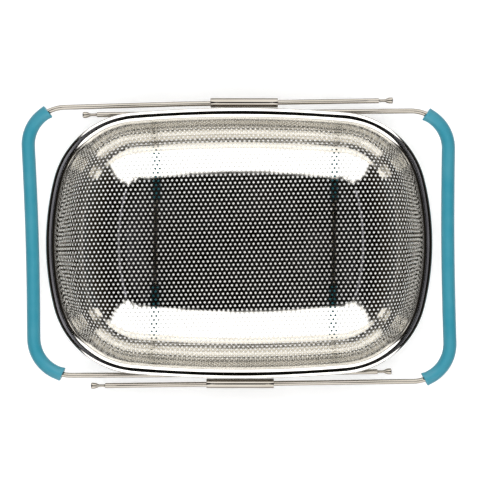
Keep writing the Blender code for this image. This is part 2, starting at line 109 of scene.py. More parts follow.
# Shares of the way from the round arm to its tip, with the width and height there as shares of the wire. The
# neck is pinched and the knob's end is dished
CRIMP_SHARES = (
    (0.000, 1.00, 1.00), (0.035, 0.99, 0.99), (0.055, 0.86, 1.02), (0.085, 0.62, 1.36), (0.20, 0.56, 1.56),
    (0.42, 0.56, 1.58), (0.52, 0.68, 1.46), (0.64, 1.02, 1.22), (0.76, 1.18, 1.10), (0.90, 1.22, 1.08),
    (0.97, 1.20, 1.04), (1.000, 1.10, 0.96),
)

FEET_X = {"left": -0.2381 * RIM_LENGTH, "right": 0.2586 * RIM_LENGTH}
FOOT_LEAN = math.radians(0.8)
SLEEVE_DIAMETER = 0.0080
SLEEVE_FLAT = 0.0004
SLEEVE_LIP = 0.0004
FOOT_STRAIGHT_SHARE = 0.51
SLEEVE_START_SHARE = 0.74
SLEEVE_END_ANGLE = math.radians(37)
FOOT_RETURN_FROM = math.radians(42)
FOOT_RETURN_TO = math.radians(64)
FOOT_END_RISE = 0.0030
# How a foot wire's end is rounded: how far along, and how wide, both as shares of its radius
WIRE_END = ((0.0, 0.7), (0.12, 0.9), (0.35, 1.0))

# Materials: each noise's scale and detail, the middle tones that its range is mapped from, and what it does
NOISE_MIDDLE = (0.3, 0.7)
STEEL_CLOUD = (22, 4)
STEEL_RUB = (900, 3)
STEEL_SWELL = (38, 2)
RUB_ON_ROUGHNESS = (0.85, 1.15)
SILICONE_CLOUD = (60, 5)
SILICONE_GRAIN = (2600, 2)
SILICONE_GRAIN_DEPTH = 0.00006
SILICONE_GRAIN_STRENGTH = 0.5
SILICONE_ROUGHNESS = (0.34, 0.46)
SILICONE_SPECULAR = 0.45
SILICONE_SHEEN = 0.05
# Two colours that a steel drifts between, its roughness, how deep its waves and rub marks are, and along
# which axis the marks are stretched
BOWL_STEEL = ((0.68, 0.66, 0.62), (0.63, 0.61, 0.565), (0.06, 0.11), 0.00012, 0.000003, (1, 1, 1))
RIM_STEEL = ((0.74, 0.72, 0.69), (0.68, 0.66, 0.62), (0.05, 0.09), 0.00003, 0.000002, (1, 1, 1))
# Painted shade and reflection: the wire rods, tubes and foot wires get a darker, browner copy of the bowl's
# steel
SHADED_ROD_STEEL = ((0.35, 0.325, 0.29), (0.29, 0.265, 0.225), (0.03, 0.07), 0.00001, 0.0000003, (0.05, 1, 1))
GRIP_TEAL = ((0.030, 0.252, 0.34), (0.050, 0.28, 0.365))
# Painted shade: the foot sleeves are the grips' teal silicone, darkened for the shade under the bowl
SHADED_BOOT_TEAL = ((0.014, 0.13, 0.16), (0.022, 0.15, 0.18))

# The photograph: its side and the rim's middle in pixels, and this many metres to a pixel there. The camera
# is this high over the rim and this far along X, and its sensor's width is in millimetres
PHOTO_SIDE = 480
RIM_MIDDLE_PX = (239.1, 243.1)
METRES_PER_PIXEL = 0.00093
CAMERA_HEIGHT = 1.10
CAMERA_X = 0.025
CAMERA_NEAREST = 0.05
SENSOR_WIDTH = 36

# The studio. The table has a white of its own, and paint that takes the light
TABLE_RADIUS = 0.8
TABLE_SIDES = 96
TABLE_ROUGHNESS = 0.9
FLOOR_OWN = 0.28
FLOOR_LIT = 0.94
LAMP_HEIGHT = 0.75
LAMP_SIDE = 0.30
LAMP_POWER = 2.4

# The world by direction, with x, y and z those of a unit vector. Pairs are where an edge starts and is full.
# The soft boxes begin this far from the zenith, and further in a dent over the middle
BOX_LEVEL = 2.4
FRONT_BOX_FROM = 0.17
FRONT_BOX_DENT = 0.18
BACK_BOX_FROM = 0.13
BACK_BOX_DENT = 0.09
DENT_X = -0.018
DENT_WIDTH = 0.048
BOX_SLANT_FROM = 0.1
BOX_SLANT = 0.85
BOX_SPREAD = 1.25
BOX_SPREAD_UP = 0.5
BOX_EDGE = (-0.01, 0.04)
BOX_SIDE = (0.0, 0.07)
HORIZON = (0.08, 0.16)

# The corner cut off each box near the zenith, and where the cut ends to the side
CUT_FROM = 0.07
CUT_SLOPE = 6
CUT_MOST = 0.2
CUT_HEIGHT = (0.88, 0.94)
CUT_ENDS = (0.108, 0.122)

# The grey strips to the left and right of the camera, which are brighter at their ends
STRIP_INNER = (0.113, 0.135)
STRIP_OUTER = (0.165, 0.185)
STRIP_END = (0.09, 0.105)
STRIP_BRIGHTENS = (0.03, 0.07)
STRIP_LOWEST = 0.5
STRIP_MIDDLE = (0.26, 0.26, 0.30)
STRIP_TIP = (0.62, 0.63, 0.72)

# The walls' tone by height, and how much of the world lights matt things
WALL_TONES = (
    (0.00, (0.22, 0.22, 0.23)), (0.12, (0.14, 0.14, 0.14)), (0.30, (0.035, 0.031, 0.025)),
    (0.55, (0.022, 0.019, 0.014)), (0.80, (0.006, 0.005, 0.004)), (1.00, (0.003, 0.003, 0.002)),
)
WORLD_ON_MATT = 0.57

# How finely things are drawn
SHARP_ANGLE = math.radians(40)
STRAIGHT = 1e-6
SMALLEST_FACE = 1e-12
OVAL_STEPS = (24, 44, 24)
RIM_CORNER_STEPS = 12
RIM_FLAT_SHARES = (0.12, 0.5, 0.88)
RIM_ROLL_STEPS = 34
TUBE_SIDES = 48
TUBE_STEPS = 8
ROD_SIDES = 28
ARM_STEPS = 24
CROSSBAR_STEPS = 120
BEND_STEPS = 24
GRIP_SIDES = 40
GRIP_STEP = 0.0025
FOOT_SIDES = 24
FOOT_STEPS = 110
FOOT_FLOOR_STEPS = 20
FOOT_WALL_STEPS = 39
BOOT_SIDES = 32
BOOT_STEP = 0.0020

# Sizes that follow
BEAD_RADIUS = BEAD_DIAMETER / 2
BEAD_Z = RIM_TOP - BEAD_RADIUS
FLANGE_TOP = RIM_TOP - FLANGE_DROP
FLOOR_TOP = FOOT_LIFT + SHEET
BOWL_EDGE_Z = FLANGE_TOP - SHEET / 2 - FLANGE_CORNER
BOWL_EDGE_OFFSET = -FLANGE_REACH + SHEET + GAP
ARC_RISE = FLOOR_CORNER * (1 - math.cos(WALL_SLOPE))
WALL_LENGTH = (BOWL_EDGE_Z - FLOOR_TOP - ARC_RISE) / math.sin(WALL_SLOPE)
ARC_LENGTH = FLOOR_CORNER * WALL_SLOPE
BLANK_REACH = ARC_LENGTH + WALL_LENGTH
WALL_SPREAD = FLOOR_CORNER * math.sin(WALL_SLOPE) + WALL_LENGTH * math.cos(WALL_SLOPE)
FLOOR_OFFSET = BOWL_EDGE_OFFSET - WALL_SPREAD
TUBE_RADIUS = TUBE_OUTSIDE / 2
TUBE_Z = BEAD_Z - BEAD_RADIUS - GAP - TUBE_RADIUS
WALL_Y_AT_TUBES = RIM_WIDTH / 2 + BOWL_EDGE_OFFSET - (BOWL_EDGE_Z - TUBE_Z) / math.tan(WALL_SLOPE)
INNER_TUBE_Y = WALL_Y_AT_TUBES + (SHEET + GAP + TUBE_RADIUS) / math.sin(WALL_SLOPE)
OUTER_TUBE_Y = INNER_TUBE_Y + GAP + TUBE_OUTSIDE
FOOT_TOUCH = SHEET + GAP + WIRE / 2
FOOT_LOW = FLOOR_TOP - (SLEEVE_DIAMETER / 2 - SLEEVE_FLAT)


# The oval

def corner_centre():
    """The centre of the corner arc, which touches the end arc and the side arc from inside."""
    end = Vector((RIM_LENGTH / 2 - END_ARC, 0))
    side = Vector((0, RIM_WIDTH / 2 - SIDE_ARC))
    to_end = END_ARC - CORNER_ARC
    to_side = SIDE_ARC - CORNER_ARC
    between = side - end
    along = (to_end**2 - to_side**2 + between.length_squared) / (2 * between.length)
    across = math.sqrt(to_end**2 - along**2)
    direction = between.normalized()
    normal = Vector((-direction.y, direction.x))
    meets = (end + direction * along + normal * across, end + direction * along - normal * across)
    return max(meets, key=lambda point: point.x + point.y)


END_CENTRE = np.array([RIM_LENGTH / 2 - END_ARC, 0.0])
SIDE_CENTRE = np.array([0.0, RIM_WIDTH / 2 - SIDE_ARC])
CORNER_CENTRE = np.array(corner_centre())
END_STOPS = math.atan2(CORNER_CENTRE[1], CORNER_CENTRE[0] - END_CENTRE[0])
SIDE_STARTS = math.atan2(CORNER_CENTRE[1] - SIDE_CENTRE[1], CORNER_CENTRE[0])


def plan_normals(points, offset):
    """The oval's outward normal nearest to each plan point, and how far outside the oval, grown by
    offset, the point lies."""
    folded = np.abs(points)
    from_end = folded - END_CENTRE
    from_side = folded - SIDE_CENTRE
    arm = folded - CORNER_CENTRE
    radius = np.full(len(points), CORNER_ARC)
    by_side = np.arctan2(from_side[:, 1], from_side[:, 0]) > SIDE_STARTS
    by_end = np.arctan2(from_end[:, 1], from_end[:, 0]) < END_STOPS
    arm[by_side], radius[by_side] = from_side[by_side], SIDE_ARC
    arm[by_end], radius[by_end] = from_end[by_end], END_ARC
    length = np.linalg.norm(arm, axis=1)
    normals = arm / length[:, None] * np.where(points < 0, -1, 1)
    return normals, length - radius - offset


def drawn(points, depth):
    """Where plan points of the flat blank lie once the bowl is drawn, depth into the sheet from inside."""
    normals, reach = plan_normals(points, FLOOR_OFFSET)
    slope = np.clip(reach / FLOOR_CORNER, 0, WALL_SLOPE)
    straight = np.maximum(reach - ARC_LENGTH, 0)
    spread = (FLOOR_CORNER + depth) * np.sin(slope) + straight * np.cos(slope)
    rise = FLOOR_CORNER - (FLOOR_CORNER + depth) * np.cos(slope) + straight * np.sin(slope)
    move = np.where(reach > 0, spread - reach, 0)
    return np.column_stack([points + normals * move[:, None], FLOOR_TOP + rise])


def oval_points(offset, end_steps, corner_steps, side_steps):
    """The oval as a closed loop of plan points with their outward normals."""
    angles = []
    for start, stop, steps in (
        (0, END_STOPS, end_steps),
        (END_STOPS, SIDE_STARTS, corner_steps),
        (SIDE_STARTS, math.pi / 2, side_steps),
    ):
        angles += [start + (stop - start) * step / steps for step in range(steps)]
    quarter = []
    for angle in angles + [math.pi / 2]:
        normal = np.array([math.cos(angle), math.sin(angle)])
        if angle < END_STOPS:
            point = END_CENTRE + (END_ARC + offset) * normal
        elif angle > SIDE_STARTS:
            point = SIDE_CENTRE + (SIDE_ARC + offset) * normal
        else:
            point = CORNER_CENTRE + (CORNER_ARC + offset) * normal
        quarter.append((point, normal))
    mirror = np.array([-1, 1])
    half = quarter + [(point * mirror, normal * mirror) for point, normal in reversed(quarter[1:-1])]
    return half + [(-point, -normal) for point, normal in half]


def oval_y(x, offset):
    """How far the oval, grown by offset, lies from the X axis at this x, on its side or its corner arc."""
    x = abs(x)
    if x < (SIDE_ARC + offset) * math.cos(SIDE_STARTS):
        centre, radius = SIDE_CENTRE, SIDE_ARC + offset
    else:
        centre, radius = CORNER_CENTRE, CORNER_ARC + offset
    return centre[1] + math.sqrt(radius**2 - (x - centre[0]) ** 2)


# Meshes

def mesh_object(name, points, faces, material):
    mesh = bpy.data.meshes.new(name)
    mesh.from_pydata([tuple(point) for point in np.asarray(points, float).tolist()], [], faces)
    mesh.validate()
    mesh.shade_smooth()
    mesh.set_sharp_from_angle(angle=SHARP_ANGLE)
    mesh.materials.append(material)
    obj = bpy.data.objects.new(name, mesh)
    bpy.context.scene.collection.objects.link(obj)
    return obj


def ring_faces(rings, sides, closed_rings):
    """Quads between each ring of points and the next, and from the last to the first if they close."""
    faces = []
    for ring in range(rings if closed_rings else rings - 1):
        here, there = ring * sides, (ring + 1) % rings * sides
        for side in range(sides):
            after = (side + 1) % sides
            faces.append((here + side, here + after, there + after, there + side))
    return faces


def swept(name, path, stations, sides, material, closed, lean=0.0):
    """A round shape along a path that lies in one plane. Each station is a distance along the path,
    a half width in the plane and a half height out of it. Stations that don't close get end caps. With a
    lean, the ends aren't cut square, and the inside of the bend reaches further."""
    path = np.asarray(path, float)
    steps = np.linalg.norm(np.diff(path, axis=0), axis=1)
    distance = np.concatenate([[0], np.cumsum(steps)])
    tangents = np.gradient(path, distance, axis=0)
    out_of_plane = np.cross(tangents[0], tangents[len(path) // 2])
    if np.linalg.norm(out_of_plane) < STRAIGHT:
        out_of_plane = np.array([0.0, 0.0, 1.0])
    out_of_plane /= np.linalg.norm(out_of_plane)
    turns = np.linspace(0, 2 * math.pi, sides, endpoint=False)
    whole = distance[-1]
    points = []
    for where, width, height in stations:
        from_end = min(where, whole - where)
        pull = math.tan(lean) * max(0.0, 1 - from_end / LEAN_REACH) ** 2 * (-1 if where < whole / 2 else 1)
        middle = np.array([np.interp(where, distance, path[:, axis]) for axis in range(3)])
        tangent = np.array([np.interp(where, distance, tangents[:, axis]) for axis in range(3)])
        across = np.cross(out_of_plane, tangent)
        across /= np.linalg.norm(across)
        for turn in turns:
            inwards = width * math.cos(turn)
            along = tangent * inwards * pull
            points.append(middle + across * inwards + out_of_plane * height * math.sin(turn) + along)
    faces = ring_faces(len(stations), sides, closed)
    if not closed:
        faces.append(tuple(reversed(range(sides))))
        faces.append(tuple(range((len(stations) - 1) * sides, len(stations) * sides)))
    return mesh_object(name, points, faces, material)


def length_of(path):
    return float(np.linalg.norm(np.diff(np.asarray(path, float), axis=0), axis=1).sum())


def sleeve_stations(length, step, outside, bore, lip, flare=0.0, flare_length=0.0):
    """Along the outside of a sleeve and back through its bore, with rounded lips at both ends. A flare
    widens the outside towards the ends."""
    along = np.linspace(0, length, max(2, round(length / step)) + 1)[1:-1]
    end = outside + flare
    shoulder = lip * (1 - math.sqrt(0.5))
    first_lip = [(0, bore + lip / 2), (0, end - lip), (shoulder, end - shoulder), (lip, end)]
    outer = []
    for where in along:
        near_end = max(0, 1 - min(where, length - where) / flare_length) if flare_length else 0
        outer.append((where, outside + flare * near_end**2))
    last_lip = [(length - where, radius) for where, radius in reversed(first_lip)]
    inner = [(where, bore) for where in (length - lip / 2, *along[::-1], lip / 2)]
    return [(where, radius, radius) for where, radius in first_lip + outer + last_lip + inner]


# Materials

def node_material(name):
    material = bpy.data.materials.new(name)
    material.use_nodes = True
    nodes = material.node_tree.nodes
    return material, nodes, material.node_tree.links, nodes["Principled BSDF"]


def add_node(nodes, kind, **values):
    node = nodes.new(kind)
    for key, value in values.items():
        if hasattr(node, key):
            setattr(node, key, value)
        else:
            node.inputs[key.replace("_", " ").title()].default_value = value
    return node


def maths(nodes, links, operation, first, second=None):
    node = add_node(nodes, "ShaderNodeMath", operation=operation)
    for socket, value in zip(node.inputs, (first, second)):
        if isinstance(value, (int, float)):
            socket.default_value = value
        elif value is not None:
            links.new(value, socket)
    return node.outputs[0]


def noise(nodes, links, scale, detail, stretch=None):
    """A noise texture on the object's own coordinates, stretched along an axis if asked."""
    coordinates = nodes.new("ShaderNodeTexCoord")
    texture = add_node(nodes, "ShaderNodeTexNoise", Scale=scale, Detail=detail)
    if stretch:
        mapping = nodes.new("ShaderNodeMapping")
        mapping.inputs["Scale"].default_value = stretch
        links.new(coordinates.outputs["Object"], mapping.inputs["Vector"])
        links.new(mapping.outputs["Vector"], texture.inputs["Vector"])
    else:
        links.new(coordinates.outputs["Object"], texture.inputs["Vector"])
    return texture


def ramp(nodes, links, source, low, high):
    """Maps a texture's middle tones to a range of numbers."""
    spread = add_node(nodes, "ShaderNodeMapRange")
    for name, value in zip(("From Min", "From Max", "To Min", "To Max"), (*NOISE_MIDDLE, low, high)):
        spread.inputs[name].default_value = value
    links.new(source.outputs["Fac"], spread.inputs["Value"])
    return spread


def mixed_colour(nodes, links, source, first, second):
    mix = add_node(nodes, "ShaderNodeMix", data_type="RGBA")
    mix.inputs["A"].default_value = (*first, 1)
    mix.inputs["B"].default_value = (*second, 1)
    links.new(source.outputs[0], mix.inputs["Factor"])
    return mix


def steel(name, colour, tint, rough, wave, scratch, stretch):
    """Polished stainless steel: cloudy roughness, a faint warm tint, drawing waves and fine rub marks."""
    material, nodes, links, shader = node_material(name)
    shader.inputs["Metallic"].default_value = 1.0
    cloud = noise(nodes, links, *STEEL_CLOUD)
    rub = noise(nodes, links, *STEEL_RUB, stretch)
    swell = noise(nodes, links, *STEEL_SWELL)
    tint_mix = mixed_colour(nodes, links, ramp(nodes, links, cloud, 0, 1), colour, tint)
    links.new(tint_mix.outputs["Result"], shader.inputs["Base Color"])
    cloudy = ramp(nodes, links, cloud, *rough).outputs[0]
    rubbed = ramp(nodes, links, rub, *RUB_ON_ROUGHNESS).outputs[0]
    links.new(maths(nodes, links, "MULTIPLY", cloudy, rubbed), shader.inputs["Roughness"])
    swell_bump = add_node(nodes, "ShaderNodeBump", Strength=1.0, Distance=wave)
    links.new(swell.outputs["Fac"], swell_bump.inputs["Height"])
    rub_bump = add_node(nodes, "ShaderNodeBump", Strength=1.0, Distance=scratch)
    links.new(rub.outputs["Fac"], rub_bump.inputs["Height"])
    links.new(swell_bump.outputs["Normal"], rub_bump.inputs["Normal"])
    links.new(rub_bump.outputs["Normal"], shader.inputs["Normal"])
    return material


def silicone(name, colour, faded):
    """Matte moulded silicone: fine grain, faint handling marks and a soft sheen."""
    material, nodes, links, shader = node_material(name)
    shader.inputs["Specular IOR Level"].default_value = SILICONE_SPECULAR
    shader.inputs["Sheen Weight"].default_value = SILICONE_SHEEN
    cloud = noise(nodes, links, *SILICONE_CLOUD)
    grain = noise(nodes, links, *SILICONE_GRAIN)
    tint_mix = mixed_colour(nodes, links, ramp(nodes, links, cloud, 0, 1), colour, faded)
    links.new(tint_mix.outputs["Result"], shader.inputs["Base Color"])
    links.new(ramp(nodes, links, cloud, *SILICONE_ROUGHNESS).outputs[0], shader.inputs["Roughness"])
    bump = add_node(nodes, "ShaderNodeBump", Strength=SILICONE_GRAIN_STRENGTH, Distance=SILICONE_GRAIN_DEPTH)
    links.new(grain.outputs["Fac"], bump.inputs["Height"])
    links.new(bump.outputs["Normal"], shader.inputs["Normal"])
    return material


# Bowl

def perforated_piece(name, cells, material):
    """The bowl's sheet over these six-sided cells of the blank: inner and outer face, hole walls and edges.
    Cells past the blank's edge are drawn back to it."""
    keys = {}
    corners = []
    thirds = ((1, 1), (-1, 2), (-2, 1), (-1, -1), (1, -2), (2, -1))

    def corner(row, column, which):
        """The number of a cell's corner, which lies in thirds of the lattice's steps from its centre."""
        key = (3 * row + thirds[which][0], 3 * column + thirds[which][1])
        if key not in keys:
            keys[key] = len(corners)
            corners.append(key)
        return keys[key]

    holed = [cell for cell in cells if cell[2]]
    plain = [cell for cell in cells if not cell[2]]
    loops = [[corner(row, column, which) for which in range(6)] for row, column, _ in holed + plain]
    corner_points = FIRST_HOLE + (
        np.outer([key[0] for key in corners], ROW_STEP) + np.outer([key[1] for key in corners], SLANT_STEP)
    ) / 3
    start = math.atan2(*(ROW_STEP + SLANT_STEP)[::-1])
    turns = start + np.arange(HOLE_SIDES) * 2 * math.pi / HOLE_SIDES
    circle = HOLE_DIAMETER / 2 * np.column_stack([np.cos(turns), np.sin(turns)])
    steps = np.array([(row, column) for row, column, _ in holed + plain])
    centres = FIRST_HOLE + steps[:, :1] * ROW_STEP + steps[:, 1:] * SLANT_STEP
    rings = (centres[:len(holed), None, :] + circle[None]).reshape(-1, 2)
    plan = np.concatenate([corner_points, rings, centres[len(holed):]])
    normals, reach = plan_normals(plan, FLOOR_OFFSET)
    plan -= normals * np.maximum(reach - BLANK_REACH, 0)[:, None]
    count = len(plan)
    points = np.concatenate([drawn(plan, 0), drawn(plan, SHEET)])
    per_side = HOLE_SIDES // 6
    top = []
    for number, loop in enumerate(loops[:len(holed)]):
        ring = len(corners) + number * HOLE_SIDES
        for side in range(6):
            here, after = loop[side], loop[(side + 1) % 6]
            arc = [ring + (side * per_side + step) % HOLE_SIDES for step in range(per_side + 1)]
            half = per_side // 2
            top.append((here, after, arc[half]))
            top += [(here, arc[step + 1], arc[step]) for step in range(half)]
            top += [(after, arc[step + 1], arc[step]) for step in range(half, per_side)]
    for number, loop in enumerate(loops[len(holed):]):
        centre = len(corners) + len(rings) + number
        top += [(loop[side], loop[(side + 1) % 6], centre) for side in range(6)]
    first, second, third = (plan[list(corner_numbers)] for corner_numbers in zip(*top))
    area = np.abs(np.cross(second - first, third - first))
    top = [face for face, size in zip(top, area) if size > SMALLEST_FACE]
    # A side that only one face has lies on a hole or on the piece's edge, and gets a wall
    pairs = dict.fromkeys(pair for face in top for pair in zip(face, face[1:] + face[:1]))
    walls = [(b, a, a + count, b + count) for a, b in pairs if (b, a) not in pairs]
    underside = [(c + count, b + count, a + count) for a, b, c in top]
    return mesh_object(name, points, top + underside + walls, material)


def make_bowl(material):
    """Four quarters of one sheet, because the whole has too many faces for one piece."""
    reach_x = RIM_LENGTH / 2 + BLANK_REACH
    columns = int(2 * reach_x / SLANT_STEP[1])
    rows = int(2 * reach_x / ROW_STEP[0])
    grid = np.array([
        (row, column) for row in range(-rows, rows + 1) for column in range(-columns, columns + 1)
    ])
    centres = FIRST_HOLE + grid[:, :1] * ROW_STEP + grid[:, 1:] * SLANT_STEP
    _, reach = plan_normals(centres, FLOOR_OFFSET)
    cell_reach = np.linalg.norm(ROW_STEP) / math.sqrt(3)
    kept = reach < BLANK_REACH + cell_reach
    grid, centres, reach = grid[kept], centres[kept], reach[kept]
    holed = reach < BLANK_REACH - PLAIN_BAND
    made = []
    for end, sign_x in (("left", -1), ("right", 1)):
        for side, sign_y in (("front", -1), ("back", 1)):
            inside = (centres[:, 0] * sign_x > 0) & (centres[:, 1] * sign_y > 0)
            cells = [(int(r), int(c), bool(h)) for (r, c), h in zip(grid[inside], holed[inside])]
            piece = perforated_piece(f"{end}_{side}_perforated_sheet", cells, material)
            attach(piece, "basket")
            made.append(piece)
    for piece in made:
        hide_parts("basket_bowl")


# Rim

def rim_middle_line():
    """The middle line of the rim's sheet as (offset from the rim's edge, height): skirt, corner, flat top
    and the roll that ends underneath."""
    half = SHEET / 2
    lean = SKIRT_DEPTH / math.tan(WALL_SLOPE)
    line = [(-FLANGE_REACH + half - lean, FLANGE_TOP - SKIRT_DEPTH)]
    for angle in np.linspace(WALL_SLOPE, 0, RIM_CORNER_STEPS):
        line.append((
            -RIM_FLAT_ENDS_AT - RIM_CORNER * math.sin(angle),
            RIM_TOP - half - RIM_CORNER * (1 - math.cos(angle)) - RIM_FLAT_DROP,
        ))
    flat_starts = np.array(line[-1])
    flat_ends = np.array([-RIM_ROLL_REACH, RIM_TOP - half])
    line += [tuple(flat_starts + (flat_ends - flat_starts) * share) for share in RIM_FLAT_SHARES]
    for angle in np.linspace(math.pi / 2, BEAD_CLOSES_AT, RIM_ROLL_STEPS):
        line.append((
            -RIM_ROLL_REACH + (RIM_ROLL_REACH - half) * math.cos(angle),
            BEAD_Z + (BEAD_RADIUS - half) * math.sin(angle),
        ))
    return np.array(line)


def make_rim(material):
    line = rim_middle_line()
    along = np.gradient(line, axis=0)
    along /= np.linalg.norm(along, axis=1)[:, None]
    across = np.column_stack([-along[:, 1], along[:, 0]]) * SHEET / 2
    section = np.concatenate([line + across, (line - across)[::-1]])
    loop = oval_points(0, *OVAL_STEPS)
    points = []
    for point, normal in loop:
        points += [(*(point + normal * offset), z) for offset, z in section]
    faces = ring_faces(len(loop), len(section), True)
    rim = mesh_object("rolled_rim", points, faces, material)
    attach(rim, "basket")
    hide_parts("rim_ring")


# Guide tubes

def make_tubes(material):
    for side, sign, x in (("back", 1, BACK_TUBES_X), ("front", -1, FRONT_TUBES_X)):
        for place, y in (("inner", INNER_TUBE_Y), ("outer", OUTER_TUBE_Y)):
            along = np.linspace(x - TUBE_LENGTH / 2, x + TUBE_LENGTH / 2, TUBE_STEPS + 1)
            path = [(where, sign * y, TUBE_Z) for where in along]
            step = TUBE_LENGTH / TUBE_STEPS
            stations = sleeve_stations(TUBE_LENGTH, step, TUBE_RADIUS, TUBE_BORE / 2, TUBE_LIP)
            tube = swept(f"{side}_{place}_guide_tube", path, stations, TUBE_SIDES, material, True)
            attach(tube, "basket")
            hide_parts(f"{side}_{place}_tube")


# Handles

def crossbar(sizes, first_angle, last_angle):
    """The middle line of the crossbar and its bends, from the first angle round the outer bend to the last
    one round the inner."""
    front = np.array([sizes["outer_x"] - HANDLE_BEND, -OUTER_TUBE_Y + sizes["pinch"] + HANDLE_BEND])
    back = np.array([sizes["inner_x"] - HANDLE_BEND, INNER_TUBE_Y - sizes["pinch"] - HANDLE_BEND])
    turn = np.linspace(-first_angle, 0, BEND_STEPS + 1)
    first = front + HANDLE_BEND * np.column_stack([np.cos(turn), np.sin(turn)])
    share = np.linspace(0, 1, 2 * BEND_STEPS + 1)[1:-1, None]
    bow = front + (back - front) * share
    bow[:, 0] += HANDLE_BEND - CROSSBAR_BOW * np.sin(math.pi * share[:, 0])
    turn = np.linspace(0, last_angle, BEND_STEPS + 1)
    last = back + HANDLE_BEND * np.column_stack([np.cos(turn), np.sin(turn)])
    return np.concatenate([first, bow, last])


def crimp_stations(start, tip):
    """From the end of the round arm through the pinched neck to the knob at the tip."""
    return [
        (start + (tip - start) * share, WIRE / 2 * width, WIRE / 2 * height)
        for share, width, height in CRIMP_SHARES
    ]


def make_handle(side, sizes, shaded_steel_material, grip_material):
    cosine, sine = math.cos(sizes["turn"]), math.sin(sizes["turn"])
    rotation = np.array([[cosine, -sine], [sine, cosine]])

    def placed(flat):
        turned = np.asarray(flat) @ rotation.T + (0, HANDLE_REST_Y)
        return np.column_stack([turned, np.full(len(flat), TUBE_Z)])

    outer = [(-sizes["outer_arm"], -OUTER_TUBE_Y), (ARM_STRAIGHT, -OUTER_TUBE_Y)]
    inner = [(ARM_STRAIGHT, INNER_TUBE_Y), (-sizes["inner_arm"], INNER_TUBE_Y)]
    path = placed(np.concatenate([outer, crossbar(sizes, math.pi / 2, math.pi / 2), inner]))
    length = length_of(path)
    to_bar = sizes["outer_arm"] + sizes["outer_x"] - HANDLE_BEND
    from_bar = length - (sizes["inner_arm"] + sizes["inner_x"] - HANDLE_BEND)
    between = np.linspace(CRIMP_LENGTH, to_bar, ARM_STEPS)[1:-1].tolist()
    between += np.linspace(to_bar, from_bar, CROSSBAR_STEPS).tolist()
    between += np.linspace(from_bar, length - CRIMP_LENGTH, ARM_STEPS)[1:-1].tolist()
    stations = crimp_stations(CRIMP_LENGTH, 0)[::-1]
    stations += [(s, WIRE / 2, WIRE / 2) for s in between]
    stations += crimp_stations(length - CRIMP_LENGTH, length)
    wire = swept(f"{side}_handle_rod", path, stations, ROD_SIDES, shaded_steel_material, False)
    body = f"{side}_handle"
    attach(wire, body)
    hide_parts(f"{side}_handle_wire")
    line = placed(crossbar(sizes, sizes["outer_grip"], sizes["inner_grip"]))
    stations = sleeve_stations(
        length_of(line), GRIP_STEP, GRIP_DIAMETER / 2, WIRE / 2 + GAP, GRIP_LIP, GRIP_FLARE, GRIP_FLARE_LENGTH
    )
    grip = swept(
        f"{side}_silicone_grip", line, stations, GRIP_SIDES, grip_material, True, GRIP_END_LEAN
    )
    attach(grip, body)
    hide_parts(f"{side}_grip_sleeve")


# Feet

def smooth(share):
    share = min(max(share, 0), 1)
    return share * share * (3 - 2 * share)


def foot_point(foot_x, sign, slope, out):
    """A point outside the bowl, where its profile has this slope, this far out from its inner face."""
    radius = FLOOR_CORNER + out
    offset = FLOOR_OFFSET + radius * math.sin(slope)
    x = foot_x + sign * oval_y(foot_x, offset) * math.tan(FOOT_LEAN)
    return np.array((x, sign * oval_y(x, offset), FLOOR_TOP + FLOOR_CORNER - radius * math.cos(slope)))


def floor_point(foot_x, sign, share):
    """A point of the wire under the floor, this share of the way to the floor's edge."""
    dip = smooth((share - FOOT_STRAIGHT_SHARE) / (1 - FOOT_STRAIGHT_SHARE))
    edge = foot_point(foot_x, sign, 0, 0)
    z = FLOOR_TOP - FOOT_TOUCH - (FOOT_LOW - FOOT_TOUCH) * dip
    return np.array((foot_x + (edge[0] - foot_x) * share, edge[1] * share, z))


def return_point(foot_x, sign, slope):
    """A point of the wire on its way up, where it comes back to the bowl from its low stretch."""
    back = smooth((slope - FOOT_RETURN_FROM) / (FOOT_RETURN_TO - FOOT_RETURN_FROM))
    return foot_point(foot_x, sign, slope, FOOT_LOW + (FOOT_TOUCH - FOOT_LOW) * back)


def foot_line(foot_x, sign, first_share, last_slope):
    """The wire's middle line from a share of the way under the floor to this slope beside the wall."""
    shares = np.linspace(first_share, 1, FOOT_FLOOR_STEPS + 1)[:-1]
    slopes = np.linspace(0, last_slope, FOOT_WALL_STEPS + 1)
    line = [floor_point(foot_x, sign, share) for share in shares]
    return line + [return_point(foot_x, sign, slope) for slope in slopes]


def make_feet(shaded_steel_material, shaded_sleeve_material):
    for side, foot_x in FEET_X.items():
        ends = []
        for sign in (-1, 1):
            half = foot_line(foot_x, sign, 0, WALL_SLOPE)
            top = half[-1] - half[-2]
            ends.append(half + [half[-1] + top / np.linalg.norm(top) * FOOT_END_RISE])
        path = ends[0][:0:-1] + ends[1]
        length = length_of(path)
        radius = WIRE / 2
        stations = [(s * radius, w * radius, w * radius) for s, w in WIRE_END]
        stations += [(s, radius, radius) for s in np.linspace(radius, length - radius, FOOT_STEPS)]
        stations += [(length - s * radius, w * radius, w * radius) for s, w in reversed(WIRE_END)]
        wire = swept(f"{side}_foot_rod", path, stations, FOOT_SIDES, shaded_steel_material, False)
        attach(wire, "basket")
        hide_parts(f"{side}_foot_wire")
        for end, sign in (("front", -1), ("back", 1)):
            line = foot_line(foot_x, sign, SLEEVE_START_SHARE, SLEEVE_END_ANGLE)
            made = sleeve_stations(
                length_of(line), BOOT_STEP, SLEEVE_DIAMETER / 2, WIRE / 2 + GAP, SLEEVE_LIP
            )
            sleeve = swept(f"{side}_{end}_foot_boot", line, made, BOOT_SIDES, shaded_sleeve_material, True)
            for vertex in sleeve.data.vertices:
                vertex.co.z = max(vertex.co.z, 0)
            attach(sleeve, "basket")
            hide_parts(f"{side}_{end}_foot_sleeve")


# Studio

